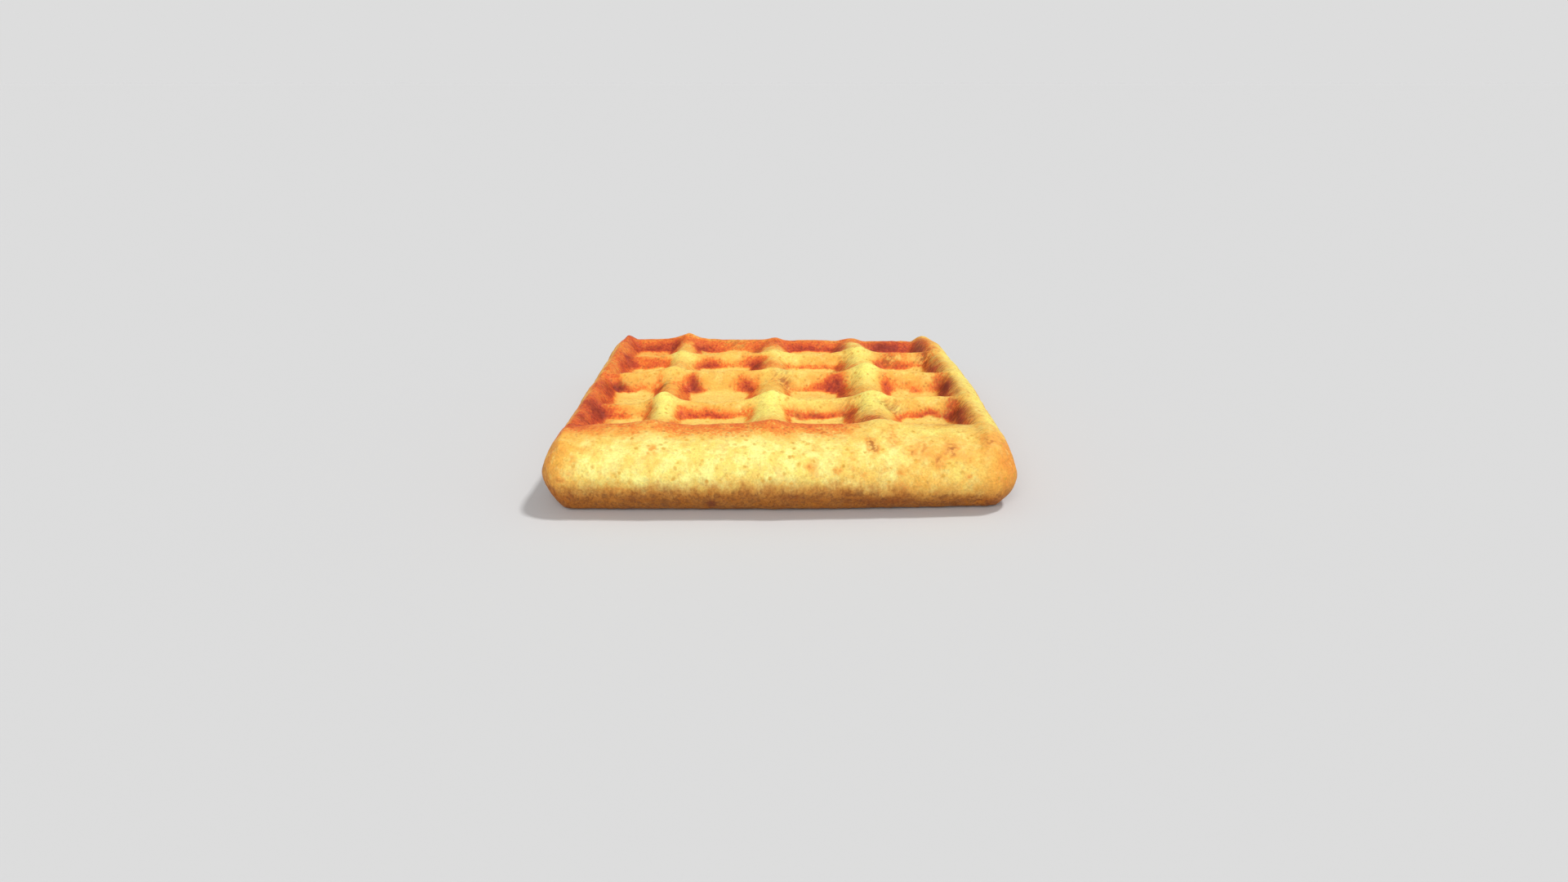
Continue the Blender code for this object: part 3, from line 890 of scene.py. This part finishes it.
class Graph:
    """Short calls for building a material's nodes."""

    def __init__(self, material):
        material.use_nodes = True
        self.tree = material.node_tree
        self.shader = self.tree.nodes["Principled BSDF"]
        self.place = self.node("ShaderNodeTexCoord").outputs["Object"]

    def node(self, kind, **settings):
        made = self.tree.nodes.new(kind)
        for name, value in settings.items():
            setattr(made, name, value)
        return made

    def feed(self, socket, value):
        if isinstance(value, bpy.types.NodeSocket):
            self.tree.links.new(value, socket)
        else:
            socket.default_value = value

    def attribute(self, name):
        return self.node("ShaderNodeAttribute", attribute_name=name).outputs["Fac"]

    def grain(self, size, detail=2.0, roughness=0.5, place=None):
        """Noise between 0 and 1 with features of this size in millimetres."""
        made = self.node("ShaderNodeTexNoise")
        self.feed(made.inputs["Vector"], place or self.place)
        self.feed(made.inputs["Scale"], 1.0 / (size * MM))
        self.feed(made.inputs["Detail"], detail)
        self.feed(made.inputs["Roughness"], roughness)
        return made.outputs["Fac"]

    def math(self, operation, first, second=0.0, third=0.0):
        made = self.node("ShaderNodeMath", operation=operation)
        for socket, value in zip(made.inputs, (first, second, third)):
            self.feed(socket, value)
        return made.outputs[0]

    def times(self, first, second):
        return self.math("MULTIPLY", first, second)

    def swing(self, value, amount, middle=0.0):
        """A value between 0 and 1, carried to this amount of swing round the middle."""
        return self.math("MULTIPLY_ADD", value, amount, middle - 0.5 * amount)

    def span(self, value, low, high, to_low=0.0, to_high=1.0):
        """Value carried smoothly from low..high to 0..1, or to another span."""
        made = self.node("ShaderNodeMapRange", interpolation_type="SMOOTHSTEP")
        parts = {"Value": value, "From Min": low, "From Max": high, "To Min": to_low, "To Max": to_high}
        for name, part in parts.items():
            self.feed(made.inputs[name], part)
        return made.outputs["Result"]

    def blend(self, share, first, second, kind="MIX"):
        """Mix of two colours; these sockets of the node are found by number, because names repeat."""
        made = self.node("ShaderNodeMix", data_type="RGBA", blend_type=kind)
        self.feed(made.inputs["Factor"], share)
        self.feed(made.inputs[6], first)
        self.feed(made.inputs[7], second)
        return made.outputs[2]

    def ramp(self, value, stops):
        """Colour at this value, between stops of a position and a colour."""
        made = self.node("ShaderNodeValToRGB")
        elements = made.color_ramp.elements
        while len(elements) < len(stops):
            elements.new(0.5)
        for element, (position, colour) in zip(elements, stops):
            element.position = position
            element.color = colour
        self.feed(made.inputs["Fac"], value)
        return made.outputs["Color"]


def linear(red, green, blue, share=1.0):
    """Linear colour of an sRGB display colour from 0 to 255, made darker by share."""
    def one(value):
        value /= 255.0
        return value / 12.92 if value <= 0.04045 else ((value + 0.055) / 1.055) ** 2.4
    return (one(red) * share, one(green) * share, one(blue) * share, 1.0)


# Baked colours as they show in even light, and how much of that is the surface's own
OWN = 0.90
CRUMB_PALE = linear(255, 248, 148, OWN)
CRUMB_LIGHT = linear(252, 224, 114, OWN)
CRUMB_AMBER = linear(248, 184, 78, OWN)
CRUMB_ORANGE = linear(240, 156, 62, OWN)
FLOOR_PALE = linear(253, 214, 110, OWN)
PEAK_PALE = linear(254, 242, 124, OWN)
# The foot darkens downwards from the first brown to the second: browning, and painted shade of the lower
# side
FOOT_BROWN = linear(212, 146, 62, OWN)
FOOT_DARK_AND_SHADE = linear(176, 98, 26, OWN)
FOOT_STREAK = linear(124, 58, 20, OWN)
SPECK_PALE = linear(255, 246, 150, OWN)
SPECK_GOLD = linear(222, 166, 58, OWN)
SPECK_ORANGE = linear(244, 168, 72, OWN)
SPECK_BROWN = linear(166, 92, 34, OWN)
# Brown of the streaks, which also paints shade on flanks that face left
STREAK_AND_SHADE_BROWN = linear(142, 66, 24, OWN)
CHAR_BROWN = linear(110, 36, 26, OWN)
CRUST_STOPS = (
    (0.00, linear(251, 196, 86, OWN)),
    (0.28, linear(249, 166, 66, OWN)),
    (0.54, linear(238, 122, 46, OWN)),
    (0.76, linear(210, 82, 38, OWN)),
    (1.00, linear(160, 50, 30, OWN)),
)

# Grains of the surface: size in millimetres, detail and roughness
FINE_GRAIN = (0.55, 2.0, 0.6)
SMALL_GRAIN = (1.5, 3.0, 0.6)
CRUMB_GRAIN = (5.0, 4.0, 0.65)
AMBER_GRAIN = (3.2, 4.0, 0.65)
CLOUD_GRAIN = (7.0, 2.0, 0.5)
CRUST_GRAIN = (3.2, 3.0, 0.6)
SPOT_GRAIN = (1.1, 2.0, 0.5)
FOOT_GRAIN = (3.5, 4.0, 0.65)
HAIR_GRAIN = (0.7, 2.0, 0.6)
# Upright hairs and slanting strands: how far drawn out along X, Y and Z, and turned by how many degrees
HAIRS = ((1.0, 1.0, 4.0), 0.0)
STRANDS = ((4.0, 1.0, 3.0), 40.0)

# Grain of the flecks. They gather in places this many times their size, by this span of a noise
FLECK_GRAIN = (2.0, 0.6)
GATHER_TIMES = 5.0
GATHER_SPAN = (0.35, 0.62)
# Dots are bent out of round by this share of their distance
DOT_BEND = 0.35

# A span is the value where a share begins and the one where it is full, then where wanted its two ends.
# Crumb: its lighter clouds, amber and orange, its paler floors, and how browning hides the pale tops
CRUMB_LIGHT_SPAN = (0.40, 0.60)
AMBER_SWING = 1.4
AMBER_SPAN = (0.05, 1.0)
ORANGE_SPAN = (0.95, 1.60)
FLOOR_SHARE = 0.85
PEAK_TOAST_SPAN = (0.9, 0.3)
# Flecks: size, span of the noise, how far they gather, their share and colour
CRUMB_FLECKS = (
    (2.4, (0.54, 0.68), 0.5, 0.30, SPECK_PALE),
    (4.5, (0.53, 0.70), 0.8, 0.50, SPECK_ORANGE),
)
# Dots: distance from one to the next, their edge and their core
GOLD_DOTS = (2.3, 0.36, 0.10)
GOLD_SPAN = (0.42, 0.58, 0.35, 0.85)

# Crust: how strongly each grain mottles it, and where it covers the crumb
CRUST_MOTTLE = 0.60
HAIR_MOTTLE = 0.60
FINE_MOTTLE = 0.65
CRUST_SPAN = (0.02, 0.50)

# Spots of the front: how a grain breaks them up, where they turn brown, and where they cover
SPOT_GRAIN_SPAN = (0.40, 0.58, 0.50, 1.0)
SPOT_BROWN_SPAN = (0.30, 0.75)
SPOT_SPAN = (0.05, 0.45, 0.0, 0.90)

# Foot: unevenness of its height, where it is dark (partly painted shade low on the side), streaked and
# blotched, and where it covers
FOOT_HAIR_SWING = 0.22
FOOT_GRAIN_SWING = 0.80
FOOT_DARK_AND_SHADE_SPAN = (0.40, 1.05)
FOOT_STREAK_SPAN = (0.4, 0.9)
FOOT_HAIR_SPAN = (0.46, 0.66, 0.0, 0.70)
FOOT_BLOTCH_SPAN = (0.3, 0.8)
FOOT_BLOTCHES = (2.6, (0.52, 0.68), 0.8)
FOOT_BLOTCH_SHARE = 0.65
FOOT_SPAN = (0.05, 0.75, 0.0, 0.94)

# Marks: pores and their colour, streaks and burnt spots (on flanks that face left partly painted shade),
# and how much the fine grain shades all of it
PORE_DOTS = (1.7, 0.38, 0.10)
PORE_TOAST_SPAN = (0.05, 0.45, 0.15, 0.50)
PORE_DARK_SPAN = (0.40, 0.90)
STRAND_SPAN = (0.42, 0.58, 0.25, 1.0)
STREAK_SHARE = 0.92
CHAR_SPAN = (0.35, 0.60, 0.60, 1.0)
SHADE_SWING = 0.70

# Surface: roughness, gloss, light scattered inside, and bump
ROUGHNESS_SPAN = (0.3, 0.7, 0.55, 0.75)
SPECULAR = 0.25
SCATTER_SHARE = 0.10
SCATTER_RADIUS = (1.0, 0.45, 0.12)
SCATTER_SCALE = 0.002
BUMP_STRENGTH = 0.45
BUMP_DISTANCE = 0.0003


def flecks(graph, size, noise_span, gather):
    """Small uneven spots of this size, gathered in some places."""
    spots = graph.span(graph.grain(size, *FLECK_GRAIN), *noise_span)
    places = graph.span(graph.grain(size * GATHER_TIMES), *GATHER_SPAN, 1.0 - gather, 1.0)
    return graph.times(spots, places)


def dots(graph, distance, edge, core):
    """Small round spots at random places, this far apart, from their edge to their core."""
    bend = distance * DOT_BEND * MM
    wander = graph.node("ShaderNodeTexNoise")
    graph.feed(wander.inputs["Vector"], graph.place)
    graph.feed(wander.inputs["Scale"], 1.0 / bend)
    bent = graph.node("ShaderNodeVectorMath", operation="MULTIPLY_ADD")
    graph.feed(bent.inputs[0], wander.outputs["Color"])
    graph.feed(bent.inputs[1], (bend, bend, bend))
    graph.feed(bent.inputs[2], graph.place)
    cells = graph.node("ShaderNodeTexVoronoi")
    graph.feed(cells.inputs["Vector"], bent.outputs["Vector"])
    graph.feed(cells.inputs["Scale"], 1.0 / (distance * MM))
    return graph.span(cells.outputs["Distance"], core, edge, 1.0, 0.0)


def stretched(graph, scale, turn):
    """The object's place, with what is looked up there drawn out this much each way, then turned."""
    squeeze = graph.node("ShaderNodeMapping", vector_type="TEXTURE")
    graph.feed(squeeze.inputs["Vector"], graph.place)
    graph.feed(squeeze.inputs["Scale"], scale)
    graph.feed(squeeze.inputs["Rotation"], (0.0, 0.0, math.radians(turn)))
    return squeeze.outputs["Vector"]


def crumb_colour(graph):
    """Pale crumb with amber clouds, paler floors and ridge tops, and flecks."""
    light = graph.blend(graph.span(graph.grain(*CRUMB_GRAIN), *CRUMB_LIGHT_SPAN), CRUMB_PALE, CRUMB_LIGHT)
    wander = graph.swing(graph.grain(*AMBER_GRAIN), AMBER_SWING)
    amber = graph.math("ADD", graph.attribute("amber"), wander)
    colour = graph.blend(graph.span(amber, *AMBER_SPAN), light, CRUMB_AMBER)
    colour = graph.blend(graph.span(amber, *ORANGE_SPAN), colour, CRUMB_ORANGE)
    colour = graph.blend(graph.times(graph.attribute("floor"), FLOOR_SHARE), colour, FLOOR_PALE)
    kept_pale = graph.times(graph.attribute("pale"), graph.span(graph.attribute("toast"), *PEAK_TOAST_SPAN))
    colour = graph.blend(kept_pale, colour, PEAK_PALE)
    for size, noise_span, gather, share, fleck in CRUMB_FLECKS:
        colour = graph.blend(graph.times(flecks(graph, size, noise_span, gather), share), colour, fleck)
    places = graph.span(graph.grain(*CLOUD_GRAIN), *GOLD_SPAN)
    return graph.blend(graph.times(dots(graph, *GOLD_DOTS), places), colour, SPECK_GOLD)


def with_crust(graph, colour, hairs, fine):
    """Browned crust over the crumb, mottled all the more where it is browner; the toast also carries
    painted shade on flanks that face left.
    """
    toast = graph.attribute("toast")
    mottle = graph.swing(graph.grain(*CRUST_GRAIN), CRUST_MOTTLE)
    mottle = graph.math("ADD", mottle, graph.swing(hairs, HAIR_MOTTLE))
    mottle = graph.math("ADD", mottle, graph.swing(fine, FINE_MOTTLE))
    baked = graph.math("ADD", toast, graph.times(mottle, graph.span(toast, *CRUST_SPAN)))
    return graph.blend(graph.span(baked, *CRUST_SPAN), colour, graph.ramp(baked, CRUST_STOPS))


def with_front_spots(graph, colour):
    """Single spots on the broad front, orange where weak and brown where strong."""
    broken = graph.span(graph.grain(*SPOT_GRAIN), *SPOT_GRAIN_SPAN)
    spots = graph.times(graph.attribute("spots"), broken)
    spot_colour = graph.blend(graph.span(spots, *SPOT_BROWN_SPAN), SPECK_ORANGE, SPECK_BROWN)
    return graph.blend(graph.span(spots, *SPOT_SPAN), colour, spot_colour)


def with_foot(graph, colour, hairs):
    """Brown foot with darker streaks and blotches, darker downwards partly as painted shade."""
    foot = graph.attribute("foot")
    shade = graph.math("ADD", foot, graph.swing(hairs, FOOT_HAIR_SWING))
    shade = graph.math("ADD", shade, graph.swing(graph.grain(*FOOT_GRAIN), FOOT_GRAIN_SWING))
    foot_colour = graph.blend(graph.span(shade, *FOOT_DARK_AND_SHADE_SPAN), FOOT_BROWN, FOOT_DARK_AND_SHADE)
    streaks = graph.times(graph.span(foot, *FOOT_STREAK_SPAN), graph.span(hairs, *FOOT_HAIR_SPAN))
    foot_colour = graph.blend(streaks, foot_colour, FOOT_STREAK)
    blotches = graph.times(graph.span(foot, *FOOT_BLOTCH_SPAN), flecks(graph, *FOOT_BLOTCHES))
    foot_colour = graph.blend(graph.times(blotches, FOOT_BLOTCH_SHARE), foot_colour, FOOT_STREAK)
    return graph.blend(graph.span(shade, *FOOT_SPAN), colour, foot_colour)


def with_marks(graph, colour, small):
    """Round pores, brown streaks on the flanks, and burnt spots; on flanks that face left the streaks and
    spots are partly painted shade.
    """
    toast = graph.attribute("toast")
    pores = graph.times(dots(graph, *PORE_DOTS), graph.span(toast, *PORE_TOAST_SPAN))
    pore_colour = graph.blend(graph.span(toast, *PORE_DARK_SPAN), SPECK_BROWN, CHAR_BROWN)
    colour = graph.blend(pores, colour, pore_colour)
    strands = graph.grain(*HAIR_GRAIN, stretched(graph, *STRANDS))
    streak_and_shade = graph.times(graph.attribute("streak_and_shade"), graph.span(strands, *STRAND_SPAN))
    colour = graph.blend(graph.times(streak_and_shade, STREAK_SHARE), colour, STREAK_AND_SHADE_BROWN)
    char_and_shade = graph.times(graph.attribute("char_and_shade"), graph.span(small, *CHAR_SPAN))
    return graph.blend(char_and_shade, colour, CHAR_BROWN)


def waffle_material():
    """Baked batter: crumb, browned crust, pale peaks, brown foot, flecks, streaks and burnt spots, with
    painted shade on flanks that face left and low on the sides.
    """
    material = bpy.data.materials.new("waffle_baked")
    graph = Graph(material)
    fine = graph.grain(*FINE_GRAIN)
    small = graph.grain(*SMALL_GRAIN)
    hairs = graph.grain(*HAIR_GRAIN, stretched(graph, *HAIRS))
    colour = with_crust(graph, crumb_colour(graph), hairs, fine)
    colour = with_foot(graph, with_front_spots(graph, colour), hairs)
    colour = with_marks(graph, colour, small)
    shaded = graph.blend(1.0, colour, graph.swing(fine, SHADE_SWING, 1.0), "MULTIPLY")
    bump = graph.node("ShaderNodeBump")
    graph.feed(bump.inputs["Strength"], BUMP_STRENGTH)
    graph.feed(bump.inputs["Distance"], BUMP_DISTANCE)
    graph.feed(bump.inputs["Height"], graph.math("ADD", fine, small))
    looks = {
        "Base Color": shaded,
        "Roughness": graph.span(small, *ROUGHNESS_SPAN),
        "Specular IOR Level": SPECULAR,
        "Subsurface Weight": SCATTER_SHARE,
        "Subsurface Radius": SCATTER_RADIUS,
        "Subsurface Scale": SCATTER_SCALE,
        "Normal": bump.outputs["Normal"],
    }
    for name, value in looks.items():
        graph.feed(graph.shader.inputs[name], value)
    return material


def grey(value):
    return (value, value, value, 1.0)


def make_floor():
    """A wide pale floor that runs to the horizon, just below the waffle."""
    bpy.ops.mesh.primitive_plane_add(size=FLOOR_WIDTH, location=(0.0, 0.0, -FLOOR_GAP))
    floor = bpy.context.object
    floor.name = "floor"
    material = bpy.data.materials.new("pale_floor")
    material.use_nodes = True
    shader = material.node_tree.nodes["Principled BSDF"]
    shader.inputs["Base Color"].default_value = grey(FLOOR_GREY)
    shader.inputs["Roughness"].default_value = FLOOR_ROUGHNESS
    shader.inputs["Specular IOR Level"].default_value = 0.0
    floor.data.materials.append(material)


def make_world():
    """Pale walls all round at the height of the eye, and a dimmer ceiling."""
    world = bpy.data.worlds.new("studio")
    bpy.context.scene.world = world
    world.use_nodes = True
    tree = world.node_tree
    background = tree.nodes["Background"]
    place = tree.nodes.new("ShaderNodeTexCoord")
    split = tree.nodes.new("ShaderNodeSeparateXYZ")
    ramp = tree.nodes.new("ShaderNodeValToRGB")
    tree.links.new(place.outputs["Generated"], split.inputs[0])
    tree.links.new(split.outputs["Z"], ramp.inputs["Fac"])
    walls, ceiling = ramp.color_ramp.elements
    walls.position = WALL_END
    walls.color = grey(WALL_GREY)
    ceiling.position = CEILING_START
    ceiling.color = grey(CEILING_GREY)
    tree.links.new(ramp.outputs["Color"], background.inputs["Color"])


def make_sun(name, azimuth, elevation, strength, softness):
    """A distant soft light that shines from this direction."""
    sun = bpy.data.lights.new(name, "SUN")
    sun.energy = strength
    sun.angle = math.radians(softness)
    holder = new_object(name, sun)
    turn = math.radians(azimuth)
    rise = math.radians(elevation)
    toward = Vector((math.sin(turn) * math.cos(rise), -math.cos(turn) * math.cos(rise), math.sin(rise)))
    holder.rotation_euler = toward.to_track_quat("Z", "Y").to_euler()


def make_camera():
    camera = bpy.data.cameras.new("camera")
    camera.sensor_width = CAMERA_SENSOR
    camera.lens = CAMERA_LENS
    camera.clip_start = CAMERA_NEAR
    holder = new_object("camera", camera)
    holder.location = CAMERA_PLACE
    holder.rotation_euler = (math.radians(90.0 - CAMERA_PITCH), 0.0, 0.0)
    bpy.context.scene.camera = holder


waffle = make_waffle()
waffle.data.materials.append(waffle_material())
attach(waffle, "root")
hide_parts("waffle")

make_floor()
make_world()
make_sun("key", *KEY_SUN)
make_sun("fill", *FILL_SUN)
make_camera()
bpy.context.scene.view_settings.view_transform = "Standard"
